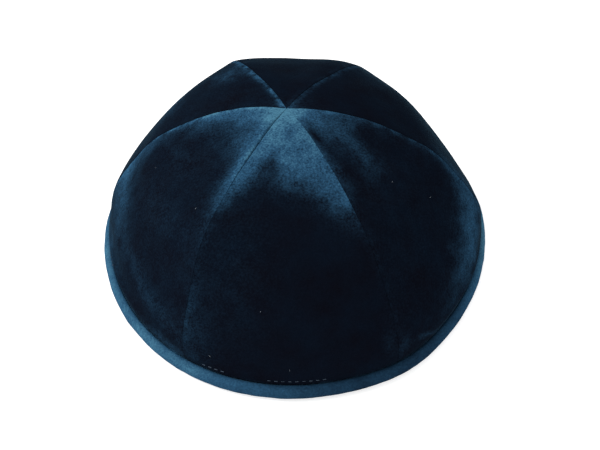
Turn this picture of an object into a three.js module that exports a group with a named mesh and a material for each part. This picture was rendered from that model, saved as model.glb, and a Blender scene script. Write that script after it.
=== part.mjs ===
// Kippah: a six-gore velvet skullcap with a velvet binding folded over its rim.
//
// Millimetres, +Z up. The cap stands on the flat underside of its rim band, and its front faces -Y.
// Azimuths are in degrees from +X towards +Y. Along a gore, "down" runs from 0 at the crown point to 1 at
// the hem; across it, "across" runs from 0 at its first seam to 1 at the next.

import * as THREE from "three";

const { degToRad, lerp, smoothstep } = THREE.MathUtils;

// ---- Driving dimensions --------------------------------------------------------------------------------

const VELVET = 1.8; // velvet with its backing
const GAP = 0.3; // clearance between neighbouring pieces
const TIP_DOWN = 0.016; // the gores' tips stop this far down from the crown point
const CROWN_SHIFT = { x: -2.6, y: 1.2 }; // how far the crown point sits from the middle of the rim
const SHIFT_RADIUS = 78; // the shift fades out from the crown point to this radius
const SHOULDER = { down: 0.5, reach: 0.22, outward: 0.75, upward: 0.65 }; // where a seam stands out
const HIP = { down: 0.78, reach: 0.13 }; // where it stands out again, above the band
const TOP_FLAT = { down: 0.35, reach: 0.3 }; // where a gore lies flat between its seams
const LOW_FLAT = { down: 0.74, reach: 0.18 };
const HELD = { from: 0.82, to: 0.95 }; // the band holds the hem to its own round line from here on
const WAVED = { from: 0.35, to: 0.9 }; // the rim's waves die out up the crown over this stretch

const GORE_COLUMNS = 10;
const GORE_ROWS = 18;
const BAND_STEPS = 96;

// A seam's line from the crown point to the hem, in even steps. The six seams dip a little where they meet.
const SEAM_LINE = [
  { radius: 0.0, height: 68.2 },
  { radius: 13.5, height: 68.4 },
  { radius: 29.8, height: 64.9 },
  { radius: 45.5, height: 58.8 },
  { radius: 60.0, height: 50.2 },
  { radius: 70.5, height: 37.1 },
  { radius: 79.0, height: 21.4 },
  { radius: 82.2, height: 9.5 },
  { radius: 82.0, height: 2.0 },
];

// Each seam, with how far it stands out of that line at its shoulder and at its hip.
const SEAMS = [
  { seam: "right", azimuth: -2.6, shoulder: -2.5, hip: 1.6 },
  { seam: "back_right", azimuth: 59.4, shoulder: 2.3, hip: 0.7 },
  { seam: "back_left", azimuth: 115.2, shoulder: 4.5, hip: 1.0 },
  { seam: "left", azimuth: 173.3, shoulder: -2.4, hip: 1.5 },
  { seam: "front_left", azimuth: 239.7, shoulder: 4.4, hip: 1.2 },
  { seam: "front_right", azimuth: 297.2, shoulder: -1.2, hip: 1.1 },
];

// The gore between each seam and the next. Flatness 1 is a straight line between its seams, 0 is round,
// and a negative one bulges.
const GORES = [
  { name: "panel_back_right", topFlat: 0.45, lowFlat: 0.35 },
  { name: "panel_back", topFlat: 0.35, lowFlat: -0.2 },
  { name: "panel_back_left", topFlat: 0.55, lowFlat: 0.05 },
  { name: "panel_front_left", topFlat: 0.6, lowFlat: 0.15 },
  { name: "panel_front", topFlat: 0.6, lowFlat: 0.1 },
  { name: "panel_front_right", topFlat: 0.6, lowFlat: 0.05 },
];

// Soft dents pressed into the crown: where, how far they reach each way, and how deep. A negative depth is a
// bulge.
const DENTS = [
  { azimuth: 318, down: 0.17, width: 14, reach: 0.07, depth: 1.3 },
  { azimuth: 340, down: 0.42, width: 8, reach: 0.16, depth: 0.9 },
  { azimuth: 268, down: 0.56, width: 18, reach: 0.14, depth: 0.8 },
  { azimuth: 210, down: 0.3, width: 12, reach: 0.12, depth: 0.9 },
  { azimuth: 88, down: 0.3, width: 14, reach: 0.16, depth: 1.2 },
  { azimuth: 67, down: 0.42, width: 11, reach: 0.12, depth: -1.2 },
  { azimuth: 36, down: 0.5, width: 12, reach: 0.15, depth: -0.5 },
  { azimuth: 188, down: 0.89, width: 30, reach: 0.035, depth: -1.6 },
  { azimuth: 345, down: 0.89, width: 32, reach: 0.035, depth: -1.3 },
];

// The rim is a little out of round: waves round it, with the size of their cosine and sine parts.
const RIM_WAVES = [
  { waves: 2, cosine: -0.9, sine: 0.6 },
  { waves: 3, cosine: 0.0, sine: 1.9 },
  { waves: 4, cosine: -0.5, sine: 0.0 },
];

// Stretches where the rim is pulled out.
const RIM_BULGES = [
  { azimuth: 300, reach: 13, offset: 1.3 },
  { azimuth: 335, reach: 30, offset: 0.6 },
  { azimuth: 8, reach: 12, offset: 0.4 },
];

// The band's section, a U that takes the hem between its legs: flat underside, padded outer leg, slot, inner
// leg. Counter-clockwise, with the radius outwards and the height upwards.
const BAND_SECTION = [
  { radius: 80.0, height: 0.0 },
  { radius: 83.8, height: 0.0 },
  { radius: 85.2, height: 0.8 },
  { radius: 85.8, height: 2.4 },
  { radius: 85.4, height: 4.2 },
  { radius: 84.3, height: 5.6 },
  { radius: 83.1, height: 6.1 },
  { radius: 82.65, height: 5.5 },
  { radius: 82.5, height: 1.7 },
  { radius: 79.9, height: 1.7 },
  { radius: 79.9, height: 5.6 },
  { radius: 79.2, height: 6.0 },
  { radius: 78.6, height: 5.3 },
  { radius: 78.5, height: 1.2 },
  { radius: 79.0, height: 0.3 },
];

const CROWN_VELVET = { color: 0x0a1b2e, roughness: 0.85, metalness: 0.0 };
const BAND_VELVET = { color: 0x16395a, roughness: 0.8, metalness: 0.0 };

// ---- Surface of the crown ------------------------------------------------------------------------------

const seamLine = new THREE.SplineCurve(
  SEAM_LINE.map(({ radius, height }) => new THREE.Vector2(radius, height)),
);

function hill(x, centre, reach) {
  return Math.exp(-(((x - centre) / reach) ** 2));
}

// How far an azimuth is from a place given in degrees, the short way round.
function turnFrom(degrees, azimuth) {
  const turn = azimuth - degToRad(degrees);
  return Math.atan2(Math.sin(turn), Math.cos(turn));
}

function rimWave(azimuth) {
  let offset = 0;
  for (const bulge of RIM_BULGES) {
    offset += bulge.offset * hill(turnFrom(bulge.azimuth, azimuth), 0, degToRad(bulge.reach));
  }
  for (const { waves, cosine, sine } of RIM_WAVES) {
    offset += cosine * Math.cos(waves * azimuth) + sine * Math.sin(waves * azimuth);
  }
  return offset;
}

function dentDepth(azimuth, down) {
  let depth = 0;
  for (const dent of DENTS) {
    const away = turnFrom(dent.azimuth, azimuth);
    depth += dent.depth * hill(away, 0, degToRad(dent.width)) * hill(down, dent.down, dent.reach);
  }
  return depth;
}

// A gore's two seams, its middle azimuth and the angle that it covers.
function goreEdges(index) {
  const first = SEAMS[index];
  const last = SEAMS[(index + 1) % SEAMS.length];
  const start = degToRad(first.azimuth);
  const span = THREE.MathUtils.euclideanModulo(degToRad(last.azimuth) - start, 2 * Math.PI);
  return { first, last, middle: start + span / 2, span };
}

// The point of a gore at a place across and down, the given depth in from its outer face.
function gorePoint(gore, edges, across, down, depth) {
  const free = 1 - smoothstep(down, HELD.from, HELD.to);
  const line = seamLine.getPoint(down);
  const along = seamLine.getTangent(down);
  const turn = (across - 0.5) * edges.span;
  const inward = depth + dentDepth(edges.middle + turn, down) * free;
  let radius = line.x + along.y * inward;
  let height = line.y - along.x * inward;

  const shoulder = free * hill(down, SHOULDER.down, SHOULDER.reach)
    * lerp(edges.first.shoulder, edges.last.shoulder, across);
  const hip = free * hill(down, HIP.down, HIP.reach) * lerp(edges.first.hip, edges.last.hip, across);
  radius += SHOULDER.outward * shoulder + hip;
  height += SHOULDER.upward * shoulder;

  const chord = Math.cos(edges.span / 2) / Math.cos(turn);
  const flat = gore.topFlat * hill(down, TOP_FLAT.down, TOP_FLAT.reach)
    + gore.lowFlat * hill(down, LOW_FLAT.down, LOW_FLAT.reach);
  radius *= 1 - free * flat * (1 - chord);
  radius += rimWave(edges.middle + turn) * smoothstep(down, WAVED.from, WAVED.to);

  const azimuth = edges.middle + (across - 0.5) * (edges.span - GAP / radius);
  const shift = Math.max(0, 1 - radius / SHIFT_RADIUS);
  return new THREE.Vector3(
    radius * Math.cos(azimuth) + CROWN_SHIFT.x * shift,
    radius * Math.sin(azimuth) + CROWN_SHIFT.y * shift,
    height,
  );
}

// ---- Closed bodies from rings of points ----------------------------------------------------------------

// Joins each ring of points to the next. A ring's second half comes back along its first, so an open stack
// of rings is closed at its ends by strips across each ring. A closed stack joins its last ring to its first.
function loft(rings, stackIsClosed) {
  const size = rings[0].length;
  const index = [];
  const quad = (a, b, c, d) => index.push(a, b, c, a, c, d);
  const joins = stackIsClosed ? rings.length : rings.length - 1;
  for (let ring = 0; ring < joins; ring++) {
    const here = ring * size;
    const next = ((ring + 1) % rings.length) * size;
    for (let k = 0; k < size; k++) {
      const after = (k + 1) % size;
      quad(here + k, next + k, next + after, here + after);
    }
  }
  if (!stackIsClosed) {
    const last = (rings.length - 1) * size;
    for (let k = 0; k < size / 2 - 1; k++) {
      const back = size - 1 - k;
      quad(k, k + 1, back - 1, back);
      quad(last + back, last + back - 1, last + k + 1, last + k);
    }
  }
  const geometry = new THREE.BufferGeometry();
  geometry.setFromPoints(rings.flat());
  geometry.setIndex(index);
  geometry.computeVertexNormals();
  return geometry;
}

function namedMesh(name, geometry, finish) {
  const mesh = new THREE.Mesh(geometry, new THREE.MeshStandardMaterial(finish));
  mesh.name = name;
  return mesh;
}

// ---- Pieces --------------------------------------------------------------------------------------------

// One gore: a shell of velvet from its tip to its hem, with a ring of points for each row.
function goreMesh(gore, index) {
  const edges = goreEdges(index);
  const rings = [];
  for (let row = 0; row <= GORE_ROWS; row++) {
    const down = lerp(TIP_DOWN, 1, row / GORE_ROWS);
    const outer = [];
    const inner = [];
    for (let column = 0; column <= GORE_COLUMNS; column++) {
      const across = column / GORE_COLUMNS;
      outer.push(gorePoint(gore, edges, across, down, 0));
      inner.unshift(gorePoint(gore, edges, across, down, VELVET));
    }
    rings.push([...outer, ...inner]);
  }
  return namedMesh(gore.name, loft(rings, false), CROWN_VELVET);
}

// The binding: its section carried once round the rim.
function bandMesh() {
  const rings = [];
  for (let step = 0; step < BAND_STEPS; step++) {
    const azimuth = (2 * Math.PI * step) / BAND_STEPS;
    const wave = rimWave(azimuth);
    rings.push(BAND_SECTION.map(({ radius, height }) => new THREE.Vector3(
      (radius + wave) * Math.cos(azimuth),
      (radius + wave) * Math.sin(azimuth),
      height,
    )));
  }
  return namedMesh("rim_band", loft(rings, true), BAND_VELVET);
}

const group = new THREE.Group();
GORES.forEach((gore, index) => group.add(goreMesh(gore, index)));
group.add(bandMesh());

// The origin is under the middle of the whole cap.
const middle = new THREE.Box3().setFromObject(group).getCenter(new THREE.Vector3());
group.position.set(-middle.x, -middle.y, 0);

export default group;
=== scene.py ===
"""A velvet skullcap: six gores sewn to a point at the crown, with a padded velvet binding round the rim."""

import logging
import math
from dataclasses import dataclass
from enum import Enum

import bpy
import numpy as np
from mathutils import Matrix, Vector, noise


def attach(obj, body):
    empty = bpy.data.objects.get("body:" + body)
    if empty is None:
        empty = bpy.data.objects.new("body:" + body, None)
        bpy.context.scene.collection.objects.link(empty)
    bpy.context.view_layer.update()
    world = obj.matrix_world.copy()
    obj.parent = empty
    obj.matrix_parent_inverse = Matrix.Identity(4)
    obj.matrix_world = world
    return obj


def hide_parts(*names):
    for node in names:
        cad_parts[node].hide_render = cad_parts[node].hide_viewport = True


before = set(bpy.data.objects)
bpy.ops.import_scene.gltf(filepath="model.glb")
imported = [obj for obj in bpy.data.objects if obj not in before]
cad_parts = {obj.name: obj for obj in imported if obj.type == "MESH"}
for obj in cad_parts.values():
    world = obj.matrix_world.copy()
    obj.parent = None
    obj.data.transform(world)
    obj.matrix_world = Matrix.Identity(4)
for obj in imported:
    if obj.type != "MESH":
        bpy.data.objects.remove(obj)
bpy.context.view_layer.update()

MM = 0.001
log = logging.getLogger("skullcap")


class Slot(Enum):
    """The record's material slots."""

    CROWN = "crown_velvet"
    BAND = "band_velvet"


# ---- Shader expressions --------------------------------------------------------------------------------


class Signal:
    """A node's output that can be used in Python arithmetic."""

    def __init__(self, graph: "Graph", socket: bpy.types.NodeSocket) -> None:
        """Wraps one output socket of a graph."""
        self.graph = graph
        self.socket = socket

    def __add__(self, other: "Signal | float") -> "Signal":
        """Returns self + other."""
        return self.graph.math("ADD", self, other)

    def __radd__(self, other: float) -> "Signal":
        """Returns other + self."""
        return self.graph.math("ADD", other, self)

    def __sub__(self, other: "Signal | float") -> "Signal":
        """Returns self - other."""
        return self.graph.math("SUBTRACT", self, other)

    def __rsub__(self, other: float) -> "Signal":
        """Returns other - self."""
        return self.graph.math("SUBTRACT", other, self)

    def __mul__(self, other: "Signal | float") -> "Signal":
        """Returns self * other."""
        return self.graph.math("MULTIPLY", self, other)

    def __rmul__(self, other: float) -> "Signal":
        """Returns other * self."""
        return self.graph.math("MULTIPLY", other, self)


class Graph:
    """The node tree of one new material."""

    def __init__(self, name: str) -> None:
        """Starts an empty material of that name."""
        self.material = bpy.data.materials.new(name)
        self.material.use_nodes = True
        self.tree = self.material.node_tree
        self.tree.nodes.clear()

    def node(self, kind: str, settings: dict | None = None, inputs: dict | None = None) -> bpy.types.Node:
        """Adds a node.

        Args:
            kind: The node's type, such as "ShaderNodeBump".
            settings: Its own settings, set before its sockets.
            inputs: A value or a Signal for each socket, by name or number.

        Returns:
            The new node.
        """
        made = self.tree.nodes.new(kind)
        for name, value in (settings or {}).items():
            setattr(made, name, value)
        for name, value in (inputs or {}).items():
            if isinstance(value, Signal):
                self.tree.links.new(value.socket, made.inputs[name])
            else:
                made.inputs[name].default_value = value
        return made

    def signal(self, kind: str, output: str | int, settings: dict | None = None,
               inputs: dict | None = None) -> Signal:
        """Adds a node as node() does, and returns one of its outputs."""
        return Signal(self, self.node(kind, settings, inputs).outputs[output])

    def math(self, operation: str, *values: "Signal | float") -> Signal:
        """Returns a Math node's result on one to three values."""
        return self.signal("ShaderNodeMath", 0, {"operation": operation}, dict(enumerate(values)))

    def blend(self, factor: "Signal | float", low: tuple | Signal, high: tuple | Signal,
              way: str = "MIX") -> Signal:
        """Mixes two colours.

        Args:
            factor: 0 gives low and 1 gives high.
            low: The first colour, as four numbers or a Signal.
            high: The second colour.
            way: The Mix node's blend type.

        Returns:
            The mixed colour.
        """
        settings = {"data_type": "RGBA", "blend_type": way, "clamp_factor": True}
        return self.signal("ShaderNodeMix", 2, settings, {0: factor, 6: low, 7: high})

    def noise(self, where: Signal, size: float, detail: float = 2.0, roughness: float = 0.5) -> Signal:
        """Returns soft noise from -0.5 to 0.5 whose features are about size metres across."""
        inputs = {"Vector": where, "Scale": 1 / size, "Detail": detail, "Roughness": roughness}
        return self.signal("ShaderNodeTexNoise", 0, None, inputs) - 0.5

    def finish(self, shader: Signal) -> bpy.types.Material:
        """Links the surface shader to the output and returns the material."""
        self.node("ShaderNodeOutputMaterial", None, {"Surface": shader})
        return self.material


def rgba(red: float, green: float, blue: float) -> tuple[float, float, float, float]:
    """Returns an opaque colour."""
    return (red, green, blue, 1.0)


@dataclass(frozen=True)
class Velvet:
    """Cut-pile velvet with painted sheen: its colour follows the lie of its nap, which the attribute "nap"
    holds.

    A nap of 0 lies away from the light and shows the deep colour and its shade in patches, 1 shows the bright
    colour of painted sheen, and 2 stands up into the light and shows the crest colour of a painted highlight.
    Clouds, brush strokes and the grain of the pile make it uneven, most of all where it is bright.
    """

    name: str
    deep: tuple[float, float, float, float]
    shade: tuple[float, float, float, float]
    bright: tuple[float, float, float, float]
    crest_highlight: tuple[float, float, float, float]
    shade_size: float = 16 * MM
    shade_contrast: float = 3.0
    cloud_size: float = 6 * MM
    cloud: float = 0.75
    brush_size: float = 1.5 * MM
    brush_length: float = 4.5
    brush_turn: float = 0.6
    brushed: float = 0.36
    pile_size: float = 0.75 * MM
    pile: float = 1.1
    uneven_power: float = 0.7
    speckle: float = 0.33
    pile_height: float = 0.22 * MM
    stroke_height: float = 0.6
    bump: float = 0.6
    roughness: float = 0.9
    sheen: float = 0.12
    sheen_roughness: float = 0.22
    sheen_tint: tuple[float, float, float, float] = rgba(0.25, 0.55, 0.8)

    def build(self) -> bpy.types.Material:
        """Returns the velvet as a new material."""
        graph = Graph(self.name)
        place = graph.signal("ShaderNodeTexCoord", "Object")
        cloth = graph.signal("ShaderNodeUVMap", 0, {"uv_map": "cloth"})
        # The nap attribute is painted sheen: how much light the pile catches where it lies.
        nap = graph.signal("ShaderNodeAttribute", "Fac", {"attribute_name": "nap"})
        shades = graph.noise(place, self.shade_size, detail=5.0, roughness=0.65)
        clouds = graph.noise(place, self.cloud_size, detail=5.0, roughness=0.6)
        combed = graph.signal("ShaderNodeMapping", 0, {"vector_type": "TEXTURE"}, {
            "Vector": cloth,
            "Rotation": (0.0, 0.0, self.brush_turn),
            "Scale": (1.0, self.brush_length, 1.0),
        })
        strokes = graph.noise(combed, self.brush_size, detail=3.0, roughness=0.6)
        pile = graph.noise(place, self.pile_size, detail=3.0, roughness=0.7)

        uneven = 2 * (self.cloud * clouds + self.brushed * strokes + self.pile * pile)
        level = nap + graph.math("POWER", nap, self.uneven_power) * uneven
        dark = graph.blend(0.5 + self.shade_contrast * shades, self.deep, self.shade)
        # Painted sheen: the nap blends the dark colours towards the bright colour, and past 1 towards the
        # crest colour, a painted highlight.
        dye = graph.blend(level, dark, self.bright)
        dye = graph.blend(level - 1, dye, self.crest_highlight)
        speckle = graph.math("MAXIMUM", 1 + self.speckle * 2 * pile, 0.0)
        grey = graph.signal("ShaderNodeCombineColor", 0, None, {0: speckle, 1: speckle, 2: speckle})
        dye = graph.blend(1.0, dye, grey, "MULTIPLY")

        relief = pile + self.stroke_height * strokes
        bump = graph.signal("ShaderNodeBump", "Normal", None,
                            {"Strength": self.bump, "Distance": self.pile_height, "Height": relief})
        shader = graph.signal("ShaderNodeBsdfPrincipled", 0, None, {
            "Base Color": dye,
            "Roughness": self.roughness,
            "Specular IOR Level": 0.0,
            "Sheen Weight": self.sheen,
            "Sheen Roughness": self.sheen_roughness,
            "Sheen Tint": self.sheen_tint,
            "Normal": bump,
        })
        return graph.finish(shader)


@dataclass(frozen=True)
class Thread:
    """Sewing thread or a loose fibre: two twisted shades."""

    name: str
    dark: tuple[float, float, float, float]
    light: tuple[float, float, float, float]
    twist_size: float = 0.4 * MM
    roughness: float = 0.6
    shine: float = 0.2

    def build(self) -> bpy.types.Material:
        """Returns the thread as a new material."""
        graph = Graph(self.name)
        place = graph.signal("ShaderNodeTexCoord", "Object")
        twist = graph.noise(place, self.twist_size, detail=1.0)
        dye = graph.blend(0.5 + twist, self.dark, self.light)
        shader = graph.signal("ShaderNodeBsdfPrincipled", 0, None, {
            "Base Color": dye,
            "Roughness": self.roughness,
            "Specular IOR Level": self.shine,
        })
        return graph.finish(shader)


# The colours of the painted sheen and of its painted highlight near the crown point.
SHEEN_BRIGHT, CREST_HIGHLIGHT = rgba(0.02, 0.068, 0.13), rgba(0.055, 0.16, 0.24)
CROWN_VELVET = Velvet(Slot.CROWN.value, deep=rgba(0.0031, 0.0036, 0.0068), shade=rgba(0.003, 0.0055, 0.0112),
                      bright=SHEEN_BRIGHT, crest_highlight=CREST_HIGHLIGHT)
BAND_VELVET = Velvet(Slot.BAND.value, deep=rgba(0.004, 0.008, 0.018), shade=rgba(0.004, 0.01, 0.022),
                     bright=SHEEN_BRIGHT, crest_highlight=CREST_HIGHLIGHT, cloud=0.3, brushed=0.25, pile=0.55, speckle=0.3)
STITCH_THREAD = Thread("thread", dark=rgba(0.02, 0.035, 0.06), light=rgba(0.07, 0.1, 0.14))
LINT_FIBRE = Thread("lint", dark=rgba(0.1, 0.13, 0.16), light=rgba(0.3, 0.34, 0.38))


@dataclass(frozen=True)
class PaleTable:
    """The studio's plain table top, which glows a little as well as being lit from above."""

    name: str = "pale_table"
    shade: tuple[float, float, float, float] = rgba(0.7, 0.7, 0.7)
    glow: float = 0.62
    mottle: float = 0.02
    mottle_size: float = 50 * MM
    roughness: float = 0.9

    def build(self) -> bpy.types.Material:
        """Returns the table top as a new material."""
        graph = Graph(self.name)
        place = graph.signal("ShaderNodeTexCoord", "Object")
        tone = 1 + self.mottle * graph.noise(place, self.mottle_size, detail=3.0)
        grey = graph.signal("ShaderNodeCombineColor", 0, None, {0: tone, 1: tone, 2: tone})
        dye = graph.blend(1.0, self.shade, grey, "MULTIPLY")
        shader = graph.signal("ShaderNodeBsdfPrincipled", 0, None, {
            "Base Color": dye,
            "Roughness": self.roughness,
            "Specular IOR Level": 0.0,
            "Emission Color": rgba(1.0, 1.0, 1.0),
            "Emission Strength": self.glow,
        })
        return graph.finish(shader)


# ---- The crown's form ----------------------------------------------------------------------------------


def hill(x: np.ndarray | float, centre: float, reach: float) -> np.ndarray | float:
    """Returns a smooth hill of height 1."""
    return np.exp(-(((x - centre) / reach) ** 2))


def step(x: np.ndarray | float, low: float, high: float) -> np.ndarray | float:
    """Returns a smooth step from 0 at low to 1 at high."""
    t = np.clip((x - low) / (high - low), 0.0, 1.0)
    return t * t * (3 - 2 * t)


def turn_from(degrees: float, azimuth: np.ndarray | float) -> np.ndarray | float:
    """Returns how far an azimuth in radians is from one in degrees, the short way round."""
    turn = azimuth - math.radians(degrees)
    return np.arctan2(np.sin(turn), np.cos(turn))


def through(values: tuple, place: np.ndarray | float) -> tuple[np.ndarray, np.ndarray]:
    """Draws a smooth curve through evenly spaced values or points.

    Args:
        values: The values, from place 0 to place 1.
        place: Where to read the curve.

    Returns:
        The curve's value at each place, and its slope there for each step from one value to the next.
    """
    points = np.array(values)
    last = len(points) - 1
    # It stops a hair short of the last value, so that there is always one ahead.
    at = np.minimum(np.clip(place, 0.0, 1.0) * last, last - 1e-9)
    i = np.floor(at).astype(int)
    t = at - i
    p0, p1, p2, p3 = (points[np.clip(i + k, 0, last)] for k in (-1, 0, 1, 2))
    a, b = (p2 - p0) / 2, (p3 - p1) / 2
    cube, square = 2 * p1 - 2 * p2 + a + b, 3 * p2 - 3 * p1 - 2 * a - b
    return cube * t**3 + square * t**2 + a * t + p1, 3 * cube * t**2 + 2 * square * t + a


@dataclass(frozen=True)
class Seam:
    """A seam from the crown point to the hem.

    It stands out at its shoulder and its hip (mm). Its groove has one depth near the crown point and another
    lower down, where 1 is the deepest, and changes from one to the other over a stretch of "down".
    """

    azimuth: float
    shoulder: float
    hip: float
    groove_top: float
    groove_low: float
    change: tuple[float, float] = (0.18, 0.4)

    def groove(self, down: float) -> float:
        """Returns how deep the seam's groove is at one height."""
        return self.groove_top + (self.groove_low - self.groove_top) * float(step(down, *self.change))


@dataclass(frozen=True)
class Dent:
    """A soft dent: its place, its reach round and down the crown, and its depth (degrees and mm).

    A negative depth is a bulge.
    """

    azimuth: float
    down: float
    width: float
    reach: float
    depth: float


@dataclass(frozen=True)
class Crown:
    """The crown's outer face, in mm, as it is cut and sewn.

    "down" runs from 0 at the crown point to 1 at the hem, and "across" from 0 at a gore's first seam to 1
    at its next. The line is a seam's radius and height from the crown point to the hem. The seams' shoulders
    (out and up) and hips, and each gore's flat places high and low, come in over a hill of "down", whose
    middle and reach the "_hill" fields give. The band holds the rim, which goes out of round by waves (turns,
    cosine part, sine part) and bulges (azimuth and reach in degrees, and how far out). The crown point is
    shifted to one side.
    """

    line: tuple[tuple[float, float], ...] = (
        (0.0, 68.2), (13.5, 68.4), (29.8, 64.9), (45.5, 58.8), (60.0, 50.2),
        (70.5, 37.1), (79.0, 21.4), (82.2, 9.5), (82.0, 2.0),
    )
    seams: tuple[Seam, ...] = (
        Seam(-2.6, -2.5, 1.6, 0.60, 0.50),
        Seam(59.4, 2.3, 0.7, 0.35, 0.25),
        Seam(115.2, 4.5, 1.0, 0.60, 0.50),
        Seam(173.3, -2.4, 1.5, 0.60, 0.50),
        Seam(239.7, 4.4, 1.2, 1.00, 0.12),
        Seam(297.2, -1.2, 1.1, 0.15, 0.12),
    )
    flats: tuple[tuple[float, float], ...] = (
        (0.45, 0.35), (0.35, -0.2), (0.55, 0.05), (0.6, 0.15), (0.6, 0.1), (0.6, 0.05),
    )
    dents: tuple[Dent, ...] = (
        Dent(318, 0.17, 14, 0.07, 1.3),
        Dent(340, 0.42, 8, 0.16, 0.9),
        Dent(268, 0.56, 18, 0.14, 0.8),
        Dent(210, 0.3, 12, 0.12, 0.9),
        Dent(88, 0.3, 14, 0.16, 1.2),
        Dent(67, 0.42, 11, 0.12, -1.2),
        Dent(36, 0.5, 12, 0.15, -0.5),
        Dent(188, 0.89, 30, 0.035, -1.6),
        Dent(345, 0.89, 32, 0.035, -1.3),
    )
    bulges: tuple[tuple[float, float, float], ...] = (
        (300.0, 13.0, 1.3), (335.0, 30.0, 0.6), (8.0, 12.0, 0.4),
    )
    waves: tuple[tuple[int, float, float], ...] = ((2, -0.9, 0.6), (3, 0.0, 1.9), (4, -0.5, 0.0))
    shift: tuple[float, float] = (-2.6, 1.2)
    shift_radius: float = 78.0
    held: tuple[float, float] = (0.82, 0.95)
    rim_radius: float = 85.8
    shoulder_hill: tuple[float, float] = (0.5, 0.22)
    shoulder_way: tuple[float, float] = (0.75, 0.65)
    hip_hill: tuple[float, float] = (0.78, 0.13)
    top_flat_hill: tuple[float, float] = (0.35, 0.3)
    low_flat_hill: tuple[float, float] = (0.74, 0.18)
    waved: tuple[float, float] = (0.35, 0.9)

    def line_at(self, down: float) -> tuple[float, float, float, float]:
        """Finds a place on the seam line.

        Args:
            down: How far down, from 0 to 1.

        Returns:
            Its radius and height, and the line's direction there as a unit vector.
        """
        at, way = through(self.line, down)
        way = way / np.hypot(*way)
        return float(at[0]), float(at[1]), float(way[0]), float(way[1])

    def ends(self, gore: int) -> tuple[Seam, Seam]:
        """Returns a gore's first seam and its next."""
        return self.seams[gore], self.seams[(gore + 1) % len(self.seams)]

    def span(self, gore: int) -> float:
        """Returns the angle from a gore's first seam to its next, in radians."""
        first, last = self.ends(gore)
        return math.radians((last.azimuth - first.azimuth) % 360)

    def wave(self, azimuth: np.ndarray | float) -> np.ndarray | float:
        """Returns how far the rim stands out of round at each azimuth."""
        offset = sum(c * np.cos(n * azimuth) + s * np.sin(n * azimuth) for n, c, s in self.waves)
        for middle, reach, out in self.bulges:
            offset = offset + out * hill(turn_from(middle, azimuth), 0, math.radians(reach))
        return offset

    def middle(self) -> np.ndarray:
        """Returns the middle of the rim's box, found at every half degree: the origin of the finished cap."""
        azimuth = np.linspace(0, 2 * math.pi, 721)
        radius = self.rim_radius + self.wave(azimuth)
        x, y = radius * np.cos(azimuth), radius * np.sin(azimuth)
        return np.array([x.min() + x.max(), y.min() + y.max(), 0.0]) / 2

    def dent_depth(self, azimuth: np.ndarray, down: float) -> np.ndarray:
        """Returns how deep the dents are at each azimuth, at one height."""
        depth = np.zeros_like(azimuth)
        for dent in self.dents:
            away = turn_from(dent.azimuth, azimuth)
            depth += dent.depth * hill(away, 0, math.radians(dent.width)) * hill(down, dent.down, dent.reach)
        return depth

    def point(self, gore: int, across: np.ndarray, down: float, depth: np.ndarray) -> np.ndarray:
        """Places points of one gore at one height.

        Args:
            gore: The gore's number, counted from the right seam.
            across: Each point's place across the gore.
            down: The points' place down the gore.
            depth: How far each lies in from the outer face.

        Returns:
            One row of x, y and z for each point, about the finished cap's origin.
        """
        first, last = self.ends(gore)
        span = self.span(gore)
        azimuth = math.radians(first.azimuth) + across * span
        free = 1 - step(down, *self.held)
        line_radius, line_height, way_out, way_up = self.line_at(down)
        inward = depth + free * self.dent_depth(azimuth, down)
        radius = line_radius + way_up * inward
        height = line_height - way_out * inward

        shoulder = first.shoulder + (last.shoulder - first.shoulder) * across
        shoulder = free * hill(down, *self.shoulder_hill) * shoulder
        hip = free * hill(down, *self.hip_hill) * (first.hip + (last.hip - first.hip) * across)
        radius = radius + self.shoulder_way[0] * shoulder + hip
        height = height + self.shoulder_way[1] * shoulder

        top_flat, low_flat = self.flats[gore]
        chord = math.cos(span / 2) / np.cos((across - 0.5) * span)
        flat = top_flat * hill(down, *self.top_flat_hill) + low_flat * hill(down, *self.low_flat_hill)
        radius = radius * (1 - free * flat * (1 - chord)) + self.wave(azimuth) * step(down, *self.waved)

        shift = np.maximum(0.0, 1 - radius / self.shift_radius)
        x = radius * np.cos(azimuth) + self.shift[0] * shift
        y = radius * np.sin(azimuth) + self.shift[1] * shift
        return np.stack([x, y, height], axis=-1) - self.middle()

    def perch(self, gore: int, across: float, down: float, turn: float, depth: float,
              size: tuple[float, float, float]) -> Matrix:
        """Places a grain one unit long on the crown.

        Args:
            gore: The gore that it lies on.
            across: Its place across the gore.
            down: Its place down the gore.
            turn: How far it is turned from pointing down the gore, in degrees.
            depth: How far its middle is sunk under the face in mm.
            size: Its length, width and height in mm.

        Returns:
            The grain's matrix, in metres.
        """
        nudge = 0.002
        near = self.point(gore, np.array([across, across + nudge]), down, np.zeros(2))
        below = self.point(gore, np.array([across]), down + nudge, np.zeros(1))[0]
        round_way = Vector(near[1] - near[0]).normalized()
        down_way = Vector(below - near[0])
        face = down_way.cross(round_way).normalized()
        down_way = round_way.cross(face)
        ahead = math.cos(math.radians(turn)) * down_way + math.sin(math.radians(turn)) * round_way
        turned = Matrix((ahead, face.cross(ahead), face)).transposed().to_4x4()
        place = (Vector(near[0]) - face * depth) * MM
        return Matrix.Translation(place) @ turned @ Matrix.Diagonal((*(s * MM for s in size), 1.0))


SEEDS_APART = (17.3, 5.1, 9.7)


def soft_noise(points: np.ndarray, size: float, seed: float) -> np.ndarray:
    """Returns smooth noise from about -1 to 1 at each point.

    Args:
        points: Rows of x, y and z in mm.
        size: The noise's feature size in mm.
        seed: Shifts the noise, so that two uses differ.

    Returns:
        One value for each point.
    """
    shift = Vector([seed * apart for apart in SEEDS_APART])
    return np.array([noise.noise(Vector(p) / size + shift) for p in points])


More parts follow.
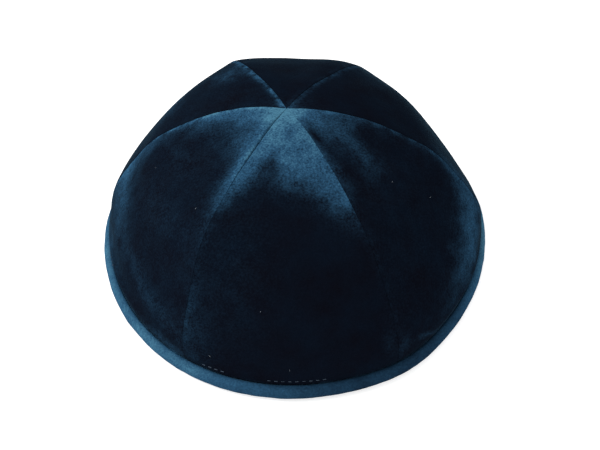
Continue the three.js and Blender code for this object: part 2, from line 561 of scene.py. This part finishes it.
def layered_noise(points: np.ndarray, layers: tuple[tuple[float, float, float], ...]) -> np.ndarray:
    """Adds up layers of soft noise.

    Args:
        points: Rows of x, y and z in mm.
        layers: Each layer's strength, its feature size in mm and its seed.

    Returns:
        One value for each point.
    """
    return sum(strength * soft_noise(points, size, seed) for strength, size, seed in layers)


# ---- Meshes --------------------------------------------------------------------------------------------


class Loft:
    """A closed body made of rings of points joined one to the next."""

    def __init__(self, name: str, closed: bool) -> None:
        """Starts an empty body; a closed one joins its last ring to its first."""
        self.name = name
        self.closed = closed
        self.rings: list[np.ndarray] = []
        self.sheen_marks: list[np.ndarray] = []
        self.cloth: list[np.ndarray] = []

    def add(self, points: np.ndarray, nap: np.ndarray, cloth: np.ndarray) -> None:
        """Adds a ring.

        Args:
            points: Its points in mm.
            nap: The nap's painted sheen at each.
            cloth: Each point's place on the cut cloth in mm.
        """
        self.rings.append(points)
        self.sheen_marks.append(nap)
        self.cloth.append(cloth)

    def faces(self) -> list[tuple[int, int, int, int]]:
        """Returns the body's quads, facing out."""
        size = len(self.rings[0])
        count = len(self.rings)
        quads = []
        for ring in range(count if self.closed else count - 1):
            here, following = ring * size, (ring + 1) % count * size
            for k in range(size):
                after = (k + 1) % size
                quads.append((here + k, following + k, following + after, here + after))
        if not self.closed:
            last = (count - 1) * size
            for k in range(size // 2 - 1):
                back = size - 1 - k
                quads.append((k, k + 1, back - 1, back))
                quads.append((last + back, last + back - 1, last + k + 1, last + k))
        return quads

    def build(self, material: bpy.types.Material) -> bpy.types.Object:
        """Makes the body's object, smooth all over, with its nap's painted sheen and its cloth map."""
        mesh = bpy.data.meshes.new(self.name)
        points = np.concatenate(self.rings) * MM
        mesh.from_pydata(points.tolist(), [], self.faces())
        mesh.update()
        mesh.polygons.foreach_set("use_smooth", [True] * len(mesh.polygons))
        # The nap attribute holds painted sheen, which the velvet turns into colour.
        attribute = mesh.attributes.new("nap", "FLOAT", "POINT")
        attribute.data.foreach_set("value", np.concatenate(self.sheen_marks).astype(np.float32))
        corners = np.empty(len(mesh.loops), dtype=np.int32)
        mesh.loops.foreach_get("vertex_index", corners)
        chart = mesh.uv_layers.new(name="cloth")
        chart.data.foreach_set("uv", (np.concatenate(self.cloth)[corners] * MM).astype(np.float32).ravel())
        mesh.materials.append(material)
        piece = bpy.data.objects.new(self.name, mesh)
        bpy.context.scene.collection.objects.link(piece)
        return piece


# ---- Gores ---------------------------------------------------------------------------------------------


@dataclass(frozen=True)
class SheenStroke:
    """A mark brushed into a gore's nap, of painted sheen, or of painted shade where its light is negative:
    its place, its reach, how much lighter it is, and its slant.
    """

    across: float
    down: float
    width: float
    reach: float
    light: float
    slant: float = 0.0

    def level(self, across: np.ndarray, down: np.ndarray) -> np.ndarray:
        """Returns how much the mark lightens the nap at each place."""
        away = across - self.across - self.slant * (down - self.down)
        return self.light * hill(away, 0, self.width) * hill(down, self.down, self.reach)


@dataclass(frozen=True)
class NapSheen:
    """How one gore's nap lies, with the sheen that it catches painted into its colour.

    It is brushed up from the crown point down to a line, which is given at five even steps across the gore,
    and there the light that it catches is painted in as sheen. Below that line it has the ground's level. A
    painted highlight makes it brightest close to the crown point, and its edges along the two seams and the
    hem are ruffled and carry a painted glint. A hill gives where such an edge is lightest and how far it
    reaches, in mm from the seam or in "down" at the hem. The seams' edges fade down the gore.
    """

    ground: float
    lit: float
    line: tuple[float, float, float, float, float]
    soft: float = 0.028
    crest_highlight: float = 0.9
    crest_highlight_reach: float = 0.1
    edges: tuple[float, float] = (0.05, 0.05)
    hem: float = 0.1
    strokes: tuple[SheenStroke, ...] = ()
    edge_hill: tuple[float, float] = (0.7, 1.5)
    edge_fading: tuple[float, float] = (0.4, 0.65)
    edge_faded: float = 0.65
    hem_hill: tuple[float, float] = (0.934, 0.016)
    hem_ragged: float = 0.3
    most: float = 2.2

    def level(self, across: np.ndarray, down: float, sides: tuple[np.ndarray, np.ndarray],
              ragged: np.ndarray, ruffled: np.ndarray) -> np.ndarray:
        """Works out the nap's painted sheen.

        Args:
            across: Each point's place across the gore.
            down: The points' place down it.
            sides: Each point's distance from the first seam and from the next, in mm.
            ragged: How far the nap's marks are pushed about, in units of down.
            ruffled: How far the nap stands up where an edge ruffles it, about 1, which makes the painted
                glint patchy.

        Returns:
            A brightness from 0 to about 2.
        """
        pushed = down + ragged
        # Painted sheen down to the line, and a painted highlight close to the crown point.
        lit = 1 / (1 + np.exp((pushed - through(self.line, across)[0]) / self.soft))
        level = self.ground + (self.lit - self.ground) * lit + self.crest_highlight * hill(pushed, 0, self.crest_highlight_reach)
        # Marks of painted sheen, and of painted shade where they are negative.
        for mark in self.strokes:
            level = level + mark.level(across + ragged, pushed)
        # A painted glint along each seam and along the hem, patchy where the nap is ruffled.
        fade = 1 - self.edge_faded * step(down, *self.edge_fading)
        for light, side in zip(self.edges, sides):
            level = level + light * hill(side, *self.edge_hill) * ruffled * fade
        level = level + self.hem * hill(down + self.hem_ragged * ragged, *self.hem_hill) * ruffled
        return np.clip(level, 0.0, self.most)


@dataclass
class Gore:
    """One velvet gore of the crown, with its seam edges rolled over and turned in.

    Sizes are in mm, and places down the gore run from 0 to 1. Where the gore is narrower than its full width,
    near the crown point, its wall and edges thin down with it. Layers of noise have a strength, a size in mm
    and a seed.
    """

    node: str
    number: int
    nap: NapSheen
    crown: Crown
    wall: float = 1.5
    roll: float = 0.9
    turn_in: float = 2.6
    lap: float = 1.0
    clear: float = 0.08
    least_clear: float = 0.3
    flattened: tuple[float, float] = (0.8, 0.9)
    even: float = 0.35
    full_width: float = 14.0
    tip: float = 0.003
    columns: int = 90
    rows: int = 190
    roll_points: int = 8
    valley: float = 0.35
    valley_width: float = 2.2
    pucker: float = 0.12
    pucker_hill: tuple[float, float] = (1.8, 2.4)
    pucker_pitch: float = 9.5
    pucker_drift: tuple[float, float, float] = (4.5, 14.0, 0.4)
    billows: tuple[tuple[float, float, float], ...] = ((0.3, 21.0, 3.0), (0.12, 9.0, 5.0))
    held: tuple[float, float] = (0.86, 0.94)
    ragged: tuple[tuple[float, float, float], ...] = ((0.03, 13.0, 7.0), (0.02, 5.0, 8.0), (0.012, 2.2, 9.0))
    ruffle: float = 0.9
    ruffles: tuple[tuple[float, float, float], ...] = ((1.5, 3.6, 11.0), (1.1, 1.5, 12.0))
    ruffle_range: tuple[float, float] = (0.1, 2.2)

    def width(self, down: float) -> float:
        """Returns the gore's width between its seams in mm."""
        radius = self.crown.line_at(down)[0]
        return radius * self.crown.span(self.number)

    def edge(self, down: float, scale: float, groove: float) -> tuple[np.ndarray, np.ndarray]:
        """Rolls over one seam edge.

        Args:
            down: The edge's place down the gore.
            scale: 1, or less where the gore is narrow.
            groove: How deep the seam's groove is there.

        Returns:
            Each point's distance from the seam and its depth in from the face, in mm, starting inside.
        """
        roll = self.roll * scale * groove
        clear = self.clear * (self.least_clear + (1 - self.least_clear) * groove)
        turned = self.turn_in + (self.wall - self.turn_in) * float(step(down, *self.flattened))
        turn = turned * scale**0.5 + roll
        angle = np.linspace(math.pi / 2, 0, self.roll_points)
        turned_side = [0.0, 0.0, clear / 2]
        turned_depth = np.linspace(turn, roll, len(turned_side), endpoint=False)
        side = np.concatenate([turned_side, clear + roll * (1 - np.sin(angle))])
        depth = np.concatenate([turned_depth, roll * (1 - np.cos(angle))])
        return side, depth

    def section(self, down: float) -> tuple[np.ndarray, np.ndarray]:
        """Cuts across the gore at one height.

        Args:
            down: The cut's place down the gore.

        Returns:
            Each point's distance from the first seam and its depth in from the face, in mm: first the face
            with its two turned-in edges, then the back.
        """
        width = self.width(down)
        scale = min(1.0, width / self.full_width)
        wall, lap = self.wall * scale**0.5, self.lap * scale
        first, last = (self.edge(down, scale, seam.groove(down)) for seam in self.crown.ends(self.number))
        t = np.linspace(0, 1, self.columns)
        eased = self.even * t + (1 - self.even) * (1 - np.cos(math.pi * t)) / 2
        start, end = first[0][-1], width - last[0][-1]
        face_x = start + (end - start) * eased[1:-1]
        # The back has as many points as the face, and two on each turned edge are among them.
        back = np.linspace(1, 0, len(face_x) + 2 * len(first[0]) - 4)
        back_start = self.clear + lap
        back_x = back_start + (width - 2 * back_start) * back
        turns = (first[1][0], last[1][0])
        x = np.concatenate([first[0], face_x, width - last[0][::-1],
                            [width - back_start] * 2, back_x, [back_start] * 2])
        depth = np.concatenate([first[1], 0 * face_x, last[1][::-1],
                                [turns[1], (turns[1] + wall) / 2], 0 * back_x + wall,
                                [(turns[0] + wall) / 2, turns[0]]])
        return x, depth

    def relief(self, place: np.ndarray, sides: tuple[np.ndarray, np.ndarray], length: float,
               down: float) -> np.ndarray:
        """Works out how far the cloth sinks in: a valley along each seam, puckers and billows.

        Args:
            place: Each point in mm.
            sides: Each point's distance from the first seam and from the next, in mm.
            length: How far the points are from the gore's tip, along the cloth.
            down: The points' place down the gore.

        Returns:
            Each point's depth in mm.
        """
        scale = min(1.0, self.width(down) / self.full_width)
        free = 1 - step(down, *self.held)
        drift, drift_size, seed = self.pucker_drift
        uneven = drift * soft_noise(place, drift_size, self.number + seed)
        drawn = np.sin(length * 2 * math.pi / self.pucker_pitch + uneven)
        sunk = layered_noise(place, self.billows) * free
        for seam, side in zip(self.crown.ends(self.number), sides):
            groove = seam.groove(down)
            sunk = sunk + self.valley * groove * np.exp(-side / self.valley_width)
            sunk = sunk + free * self.pucker * groove * hill(side, *self.pucker_hill) * drawn
        return scale * sunk

    def build(self, material: bpy.types.Material) -> bpy.types.Object:
        """Args:
            material: The velvet that it is cut from.

        Returns:
            The finished piece.
        """
        loft = Loft(f"{self.node}_velvet", False)
        length, area, widest = 0.0, 0.0, 0.0
        before = None
        for row in range(self.rows + 1):
            down = self.tip + (1 - self.tip) * row / self.rows
            x, depth = self.section(down)
            width = self.width(down)
            cut_width = width + 2 * self.turn_in
            across = np.clip(x / width, 0, 1)
            sides = (np.maximum(0.0, x - self.clear), np.maximum(0.0, width - x - self.clear))
            face = self.crown.point(self.number, across, down, 0 * x)
            # The face takes up the first half of the points, so its middle is a quarter of the way along.
            middle = face[len(x) // 4]
            travelled = 0.0 if before is None else float(np.linalg.norm(middle - before))
            before = middle
            length += travelled
            area += travelled * cut_width
            widest = max(widest, cut_width)
            sunk = depth + self.relief(face, sides, length, down)
            points = self.crown.point(self.number, across, down, sunk)
            ruffled = np.clip(self.ruffle + layered_noise(face, self.ruffles), *self.ruffle_range)
            # The nap's painted sheen at each point.
            nap = self.nap.level(across, down, sides, layered_noise(face, self.ragged), ruffled)
            cloth = np.stack([x - width / 2, 0 * x + length], axis=-1)
            loft.add(points, nap, cloth)
        piece = loft.build(material)
        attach(piece, "root")
        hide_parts(self.node)
        widest * MM
        length * MM
        area * MM * MM
        return piece


# Each gore's painted sheen: where its nap catches the light, its painted highlight and glints, and darker
# marks of painted shade.
NAP_SHEENS: dict[str, NapSheen] = {
    "panel_back_right": NapSheen(
        ground=0.0, lit=0.3, line=(0.03, 0.02, 0.02, 0.02, 0.02),
        crest_highlight=0.2, crest_highlight_reach=0.03, edges=(0.0, 0.12),
        strokes=(
            SheenStroke(0.98, 0.3, 0.08, 0.1, 0.03),
            SheenStroke(0.02, 0.62, 0.06, 0.1, 0.25),
        ),
    ),
    "panel_back": NapSheen(
        ground=0.0, lit=0.05, line=(0.02, 0.02, 0.02, 0.02, 0.02),
        crest_highlight=0.0, crest_highlight_reach=0.03, edges=(0.02, 0.0),
    ),
    "panel_back_left": NapSheen(
        ground=0.015, lit=0.3, line=(0.03, 0.02, 0.02, 0.02, 0.02),
        crest_highlight=0.2, crest_highlight_reach=0.03, edges=(0.55, 0.0),
        strokes=(
            SheenStroke(0.05, 0.27, 0.07, 0.09, 0.2),
            SheenStroke(0.22, 0.37, 0.12, 0.045, 0.3),
            SheenStroke(0.6, 0.52, 0.2, 0.045, 0.16),
        ),
    ),
    "panel_front_left": NapSheen(
        ground=0.02, lit=1.0, line=(0.32, 0.235, 0.19, 0.2, 0.27),
        soft=0.034, edges=(0.45, 0.05), hem=0.5,
        strokes=(
            SheenStroke(1.0, 0.3, 0.07, 0.11, 0.8),
            SheenStroke(0.3, 0.11, 0.2, 0.025, -0.15),
            SheenStroke(0.7, 0.16, 0.15, 0.03, -0.1),
            SheenStroke(0.1, 0.68, 0.22, 0.07, 0.45, slant=1.5),
            SheenStroke(0.0, 0.6, 0.09, 0.2, 0.4),
            SheenStroke(0.76, 0.755, 0.2, 0.045, 0.1, slant=4.2),
            SheenStroke(0.35, 0.42, 0.25, 0.04, 0.04, slant=-2.0),
            SheenStroke(0.6, 0.55, 0.3, 0.05, 0.04, slant=-2.0),
            SheenStroke(0.25, 0.86, 0.2, 0.05, 0.2),
            SheenStroke(0.9, 0.89, 0.14, 0.03, 0.2),
        ),
    ),
    "panel_front": NapSheen(
        ground=0.0, lit=0.95, line=(0.375, 0.26, 0.3, 0.352, 0.412),
        soft=0.02, crest_highlight=1.0, crest_highlight_reach=0.135, edges=(0.05, 0.02),
        strokes=(
            SheenStroke(0.55, 0.15, 0.14, 0.025, -0.5),
            SheenStroke(0.52, 0.24, 0.12, 0.025, 0.3),
            SheenStroke(0.33, 0.25, 0.06, 0.025, -0.4),
            SheenStroke(0.8, 0.33, 0.15, 0.03, -0.2),
            SheenStroke(0.15, 0.55, 0.2, 0.2, 0.03),
            SheenStroke(0.02, 0.7, 0.035, 0.08, 0.12),
            SheenStroke(0.05, 0.8, 0.07, 0.12, 0.1),
            SheenStroke(0.97, 0.8, 0.035, 0.08, 0.03),
        ),
    ),
    "panel_front_right": NapSheen(
        ground=0.01, lit=0.6, line=(0.13, 0.11, 0.12, 0.12, 0.12),
        soft=0.02, crest_highlight=1.2, edges=(0.03, 0.2), hem=0.3,
        strokes=(
            SheenStroke(0.1, 0.18, 0.12, 0.035, -0.28),
            SheenStroke(0.5, 0.18, 0.45, 0.05, 0.36),
            SheenStroke(0.0, 0.26, 0.08, 0.08, 0.35),
            SheenStroke(0.45, 0.29, 0.12, 0.08, 0.25, slant=-1.0),
            SheenStroke(0.78, 0.73, 0.2, 0.09, 0.6, slant=-2.3),
            SheenStroke(1.0, 0.2, 0.12, 0.12, 0.2),
            SheenStroke(1.0, 0.6, 0.06, 0.12, 0.3),
            SheenStroke(0.04, 0.84, 0.03, 0.05, 0.08),
            SheenStroke(0.18, 0.87, 0.03, 0.03, 0.15, slant=2.0),
        ),
    ),
}


# ---- Rim band ------------------------------------------------------------------------------------------


@dataclass
class RimBand:
    """The velvet binding: a padded outer leg, a flat underside and a thin leg inside the cap.

    Sizes are in mm. The slot between the legs takes the hem of the crown. The foot gives how far out and how
    high the cloth runs as it turns under the inner leg. The nap's stretches of painted sheen have an azimuth
    and a reach in degrees and a brightness, and its section carries painted shade inside the cap and near the
    foot and a painted highlight along the top. Layers of noise have a strength, a size in mm and a seed.
    """

    crown: Crown
    steps: int = 540
    bulge_points: int = 26
    wall_points: int = 4
    lip_points: int = 8
    bulge_radius: float = 82.9
    bulge_out: float = 2.9
    bulge_middle: float = 2.95
    bulge_up: float = 3.15
    slot: tuple[float, float] = (79.9, 82.38)
    slot_floor: float = 1.7
    lip: float = 5.7
    inner_lip: float = 5.3
    inner_radius: float = 79.2
    inner_out: float = 0.7
    inner_middle: float = 5.4
    foot: tuple[tuple[float, float], ...] = ((0.0, 3.4), (0.0, 1.2), (0.1, 0.5), (0.45, 0.1), (1.2, 0.0))
    cloth_radius: float = 85.0
    outside: tuple[float, float] = (82.5, 84.0)
    padding: tuple[tuple[float, float, float], ...] = ((0.16, 9.0, 1.0), (0.1, 3.2, 2.0))
    uneven_top: tuple[tuple[float, float, float], ...] = ((0.22, 14.0, 4.0),)
    top: tuple[float, float] = (3.0, 5.5)
    outer_leg: tuple[float, float] = (82.4, 82.6)
    flat_strip: tuple[float, float] = (0.525, 0.017)
    ground: float = 0.24
    # Stretches of painted sheen round the band: azimuth, reach in degrees and brightness.
    sheen_marks: tuple[tuple[float, float, float], ...] = (
        (232.0, 29.0, 0.88), (188.0, 22.0, 0.8), (346.0, 26.0, 0.7), (4.0, 20.0, 0.6), (270.0, 20.0, 0.1),
    )
    inner_shade: float = 0.75
    foot_shade: float = 0.5
    shaded: tuple[float, float] = (0.3, 3.2)
    top_light: float = 0.2
    top_hill: tuple[float, float] = (5.2, 1.3)
    patches: tuple[tuple[float, float, float], ...] = ((0.16, 10.0, 6.0), (0.1, 3.5, 9.0))

    def brightness(self, azimuth: float) -> float:
        """Returns the nap's painted sheen at an azimuth: the ground with a few stretches of painted sheen."""
        level = self.ground
        for middle, reach, light in self.sheen_marks:
            level += light * float(hill(turn_from(middle, azimuth), 0.0, math.radians(reach)))
        return level

    def shading(self, radius: np.ndarray, height: np.ndarray) -> np.ndarray:
        """Returns how much of its painted sheen the nap keeps at each point of the section.

        Args:
            radius: Each point's radius in mm.
            height: Its height in mm.

        Returns:
            1 on the outside, less inside the cap and near the foot as painted shade, and a little more along
            the top as a painted highlight.
        """
        leg = self.inner_shade + (1 - self.inner_shade) * step(radius, *self.outside)
        rounded = self.foot_shade + (1 - self.foot_shade) * step(height, *self.shaded)
        return leg * (rounded + self.top_light * hill(height, *self.top_hill))

    def section(self) -> tuple[np.ndarray, np.ndarray]:
        """Cuts across the band, counter-clockwise from the middle of its underside.

        Returns:
            Each point's radius and height in mm.
        """
        angle = np.linspace(-math.pi / 2, math.pi / 2, self.bulge_points)
        radius = [self.bulge_radius + self.bulge_out * np.cos(angle)]
        height = [np.maximum(0.0, self.bulge_middle + self.bulge_up * np.sin(angle))]
        radius.append([self.slot[1]] * self.wall_points)
        height.append(np.linspace(self.lip, self.slot_floor, self.wall_points))
        radius.append([self.slot[0]] * self.wall_points)
        height.append(np.linspace(self.slot_floor, self.inner_lip, self.wall_points))
        turn = np.linspace(0, math.pi, self.lip_points)
        radius.append(self.inner_radius + self.inner_out * np.cos(turn))
        height.append(self.inner_middle + self.inner_out * np.sin(turn))
        foot_out, foot_up = np.array(self.foot).T
        radius.append(self.inner_radius - self.inner_out + foot_out)
        height.append(foot_up)
        return np.concatenate(radius), np.concatenate(height)

    def build(self, material: bpy.types.Material) -> bpy.types.Object:
        """Args:
            material: The velvet that it is cut from.

        Returns:
            The finished piece.
        """
        radius, height = self.section()
        outside = step(radius, *self.outside)
        outer_top = step(height, *self.top) * step(radius, *self.outer_leg)
        shading = self.shading(radius, height)
        run = np.cumsum(np.hypot(np.diff(radius, append=radius[0]), np.diff(height, append=height[0])))
        loft = Loft("rim_band_velvet", True)
        for turn in range(self.steps):
            azimuth = 2 * math.pi * turn / self.steps
            bearing = np.array([math.cos(azimuth), math.sin(azimuth)])
            spot = np.array([[*(bearing * self.cloth_radius), 0.0]])
            out = radius + self.crown.wave(azimuth) + outside * layered_noise(spot, self.padding)
            up = height + outer_top * layered_noise(spot, self.uneven_top)
            points = np.column_stack([out * bearing[0], out * bearing[1], up]) - self.crown.middle()
            # Painted sheen by azimuth, with painted shade and a painted highlight across the section, and
            # random patches.
            nap = self.brightness(azimuth) * shading + layered_noise(points, self.patches)
            cloth = np.stack([run, 0 * run + azimuth * self.cloth_radius], axis=-1)
            loft.add(points, nap, cloth)
        piece = loft.build(material)
        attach(piece, "root")
        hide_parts("rim_band")
        return piece


# ---- Stitches and lint ---------------------------------------------------------------------------------


def grain_template(name: str) -> tuple[np.ndarray, list[list[int]]]:
    """Models a grain of thread one unit long, lying along X with rounded ends.

    Args:
        name: What to call it while it is modelled.

    Returns:
        Its points and its faces, which are lists of point numbers.
    """
    bpy.ops.object.select_all(action="DESELECT")
    bpy.ops.mesh.primitive_cylinder_add(vertices=10, radius=0.5, depth=1.0, rotation=(0, math.pi / 2, 0))
    bpy.ops.object.transform_apply(location=True, rotation=True, scale=True)
    grain = bpy.context.object
    grain.name = name
    bpy.ops.object.mode_set(mode="EDIT")
    bpy.ops.mesh.select_all(action="SELECT")
    bpy.ops.mesh.bevel(offset=0.22, segments=3, affect="EDGES")
    bpy.ops.mesh.remove_doubles(threshold=0.001)
    bpy.ops.object.mode_set(mode="OBJECT")
    points = np.array([tuple(v.co) for v in grain.data.vertices])
    faces = [list(p.vertices) for p in grain.data.polygons]
    bpy.data.objects.remove(grain, do_unlink=True)
    return points, faces


def joined(name: str, places: list[Matrix], material: bpy.types.Material) -> bpy.types.Object:
    """Joins many copies of a small grain in one mesh.

    Args:
        name: The piece's name.
        places: Each copy's turn, size and place in metres.
        material: The finish of all of them.

    Returns:
        The joined piece.
    """
    points, faces = grain_template(f"{name}_grain")
    all_points, all_faces = [], []
    for place in places:
        first = len(all_points)
        all_points.extend(tuple(place @ Vector(p)) for p in points)
        all_faces.extend([first + corner for corner in face] for face in faces)
    mesh = bpy.data.meshes.new(name)
    mesh.from_pydata(all_points, [], all_faces)
    mesh.update()
    mesh.polygons.foreach_set("use_smooth", [True] * len(mesh.polygons))
    mesh.materials.append(material)
    piece = bpy.data.objects.new(name, mesh)
    bpy.context.scene.collection.objects.link(piece)
    return piece


@dataclass
class StitchRow:
    """The row of machine stitches through the crown, just above the band.

    The thread shows in a few stretches, given by azimuth and reach in degrees, and sinks in the pile between.
    """

    crown: Crown
    pitch: float = 2.5
    size: tuple[float, float, float] = (1.25, 0.4, 0.4)
    down: float = 0.895
    sunk: float = 0.02
    hidden: float = 0.5
    uneven: float = 0.04
    uneven_turn: float = 2.3
    shown: tuple[tuple[float, float], ...] = (
        (248.5, 3.5), (265.0, 4.0), (270.0, 4.0), (275.0, 4.0), (196.0, 4.0), (20.0, 8.0), (112.0, 10.0),
    )
    shown_flat: float = 1.4

    def depth(self, azimuth: float) -> float:
        """Returns how deep a stitch lies in the pile at an azimuth in degrees."""
        show = 0.0
        for middle, reach in self.shown:
            away = turn_from(middle, math.radians(azimuth))
            show += float(hill(away, 0.0, math.radians(reach)))
        return self.sunk + self.hidden * (1 - min(1.0, self.shown_flat * show))

    def build(self, material: bpy.types.Material) -> bpy.types.Object:
        """Makes all the stitches as one piece."""
        places = []
        for gore, seam in enumerate(self.crown.seams):
            span = self.crown.span(gore)
            count = round(self.crown.line_at(self.down)[0] * span / self.pitch)
            for k in range(count):
                start = (k + 0.5) / count
                depth = self.depth(seam.azimuth + math.degrees(span) * start)
                depth += self.uneven * math.sin(self.uneven_turn * k + gore)
                places.append(self.crown.perch(gore, start, self.down, 90.0, depth, self.size))
        piece = joined("stitch_row", places, material)
        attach(piece, "root")
        return piece


@dataclass
class Lint:
    """A few pale fibres caught in the pile: gore, across, down, turn in degrees and length in mm."""

    crown: Crown
    width: float = 0.13
    proud: float = 0.02
    specks: tuple[tuple[int, float, float, float, float], ...] = (
        (3, 0.86, 0.455, 20.0, 0.9), (3, 0.6, 0.63, 70.0, 0.7), (3, 0.69, 0.59, 130.0, 0.5),
        (3, 0.3, 0.5, 35.0, 0.5), (4, 0.14, 0.82, 60.0, 0.8), (4, 0.5, 0.83, 10.0, 0.8),
        (4, 0.36, 0.66, 110.0, 0.4), (5, 0.19, 0.545, 80.0, 0.6), (5, 0.63, 0.55, 60.0, 0.9),
        (5, 0.45, 0.43, 150.0, 0.5), (0, 0.5, 0.4, 25.0, 0.7), (0, 0.3, 0.7, 95.0, 0.6),
        (1, 0.6, 0.5, 40.0, 0.8), (1, 0.25, 0.75, 120.0, 0.6), (2, 0.35, 0.6, 65.0, 0.8),
    )

    def build(self, material: bpy.types.Material) -> bpy.types.Object:
        """Makes all the fibres as one piece."""
        places = [
            self.crown.perch(gore, across, down, turn, -self.proud, (length, self.width, self.width))
            for gore, across, down, turn, length in self.specks
        ]
        piece = joined("lint", places, material)
        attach(piece, "root")
        return piece


# ---- Studio --------------------------------------------------------------------------------------------


@dataclass
class Studio:
    """A pale table, soft light from all round with a little more from the left, and the camera."""

    table_radius: float = 4.0
    table_drop: float = 0.05 * MM
    sky: float = 0.85
    key_place: tuple[float, float, float] = (-0.75, 0.1, 0.75)
    key_size: float = 0.7
    key_power: float = 8.0
    camera_place: tuple[float, float, float] = (-0.09, -249.10, 254.85)
    camera_aim: tuple[float, float, float] = (2.01, 1.90, 4.96)
    camera_roll: float = -0.24
    lens: float = 47.66
    sensor: float = 36.0
    nearest: float = 0.01

    def table(self) -> bpy.types.Object:
        """Adds the table top."""
        bpy.ops.object.select_all(action="DESELECT")
        bpy.ops.mesh.primitive_circle_add(vertices=128, radius=self.table_radius, fill_type="NGON",
                                          location=(0, 0, -self.table_drop))
        bpy.ops.object.transform_apply(location=True, rotation=True, scale=True)
        top = bpy.context.object
        top.name = "table"
        top.data.materials.append(PaleTable().build())
        return top

    def lights(self) -> None:
        """Sets the soft light all round and adds the key light."""
        world = bpy.data.worlds.new("studio")
        world.use_nodes = True
        background = world.node_tree.nodes["Background"]
        background.inputs["Color"].default_value = rgba(1.0, 1.0, 1.0)
        background.inputs["Strength"].default_value = self.sky
        bpy.context.scene.world = world
        key = bpy.data.lights.new("key", "AREA")
        key.shape = "DISK"
        key.size = self.key_size
        key.energy = self.key_power
        lamp = bpy.data.objects.new("key", key)
        lamp.location = self.key_place
        lamp.rotation_euler = (-Vector(self.key_place)).to_track_quat("-Z", "Y").to_euler()
        bpy.context.scene.collection.objects.link(lamp)

    def camera(self) -> None:
        """Adds the camera, level but for its small roll."""
        place = Vector(self.camera_place) * MM
        ahead = (Vector(self.camera_aim) * MM - place).normalized()
        right = ahead.cross(Vector((0, 0, 1))).normalized()
        up = right.cross(ahead)
        roll = math.radians(self.camera_roll)
        turned_right = math.cos(roll) * right + math.sin(roll) * up
        turned_up = math.cos(roll) * up - math.sin(roll) * right
        lens = bpy.data.cameras.new("camera")
        lens.lens = self.lens
        lens.sensor_width = self.sensor
        lens.clip_start = self.nearest
        body = bpy.data.objects.new("camera", lens)
        turn = Matrix((turned_right, turned_up, -ahead)).transposed().to_4x4()
        body.matrix_world = Matrix.Translation(place) @ turn
        bpy.context.scene.collection.objects.link(body)
        bpy.context.scene.camera = body

    def build(self) -> None:
        """Sets the whole stage."""
        self.table()
        self.lights()
        self.camera()
        bpy.context.scene.view_settings.view_transform = "Standard"
        log.info("studio: table, lights and camera")


def report(piece: bpy.types.Object) -> None:
    """Logs a finished piece."""
    log.info("%s: %d faces", piece.name, len(piece.data.polygons))


def main() -> None:
    """Builds the cap on its frame, piece by piece."""
    crown = Crown()
    crown_velvet, band_velvet, thread = CROWN_VELVET.build(), BAND_VELVET.build(), STITCH_THREAD.build()
    for number, (node, nap) in enumerate(NAP_SHEENS.items()):
        report(Gore(node, number, nap, crown).build(crown_velvet))
    report(RimBand(crown).build(band_velvet))
    report(StitchRow(crown).build(thread))
    report(Lint(crown).build(LINT_FIBRE.build()))
    Studio().build()


if __name__ == "__main__":
    logging.basicConfig(level=logging.INFO, format="%(name)s: %(message)s")
    main()
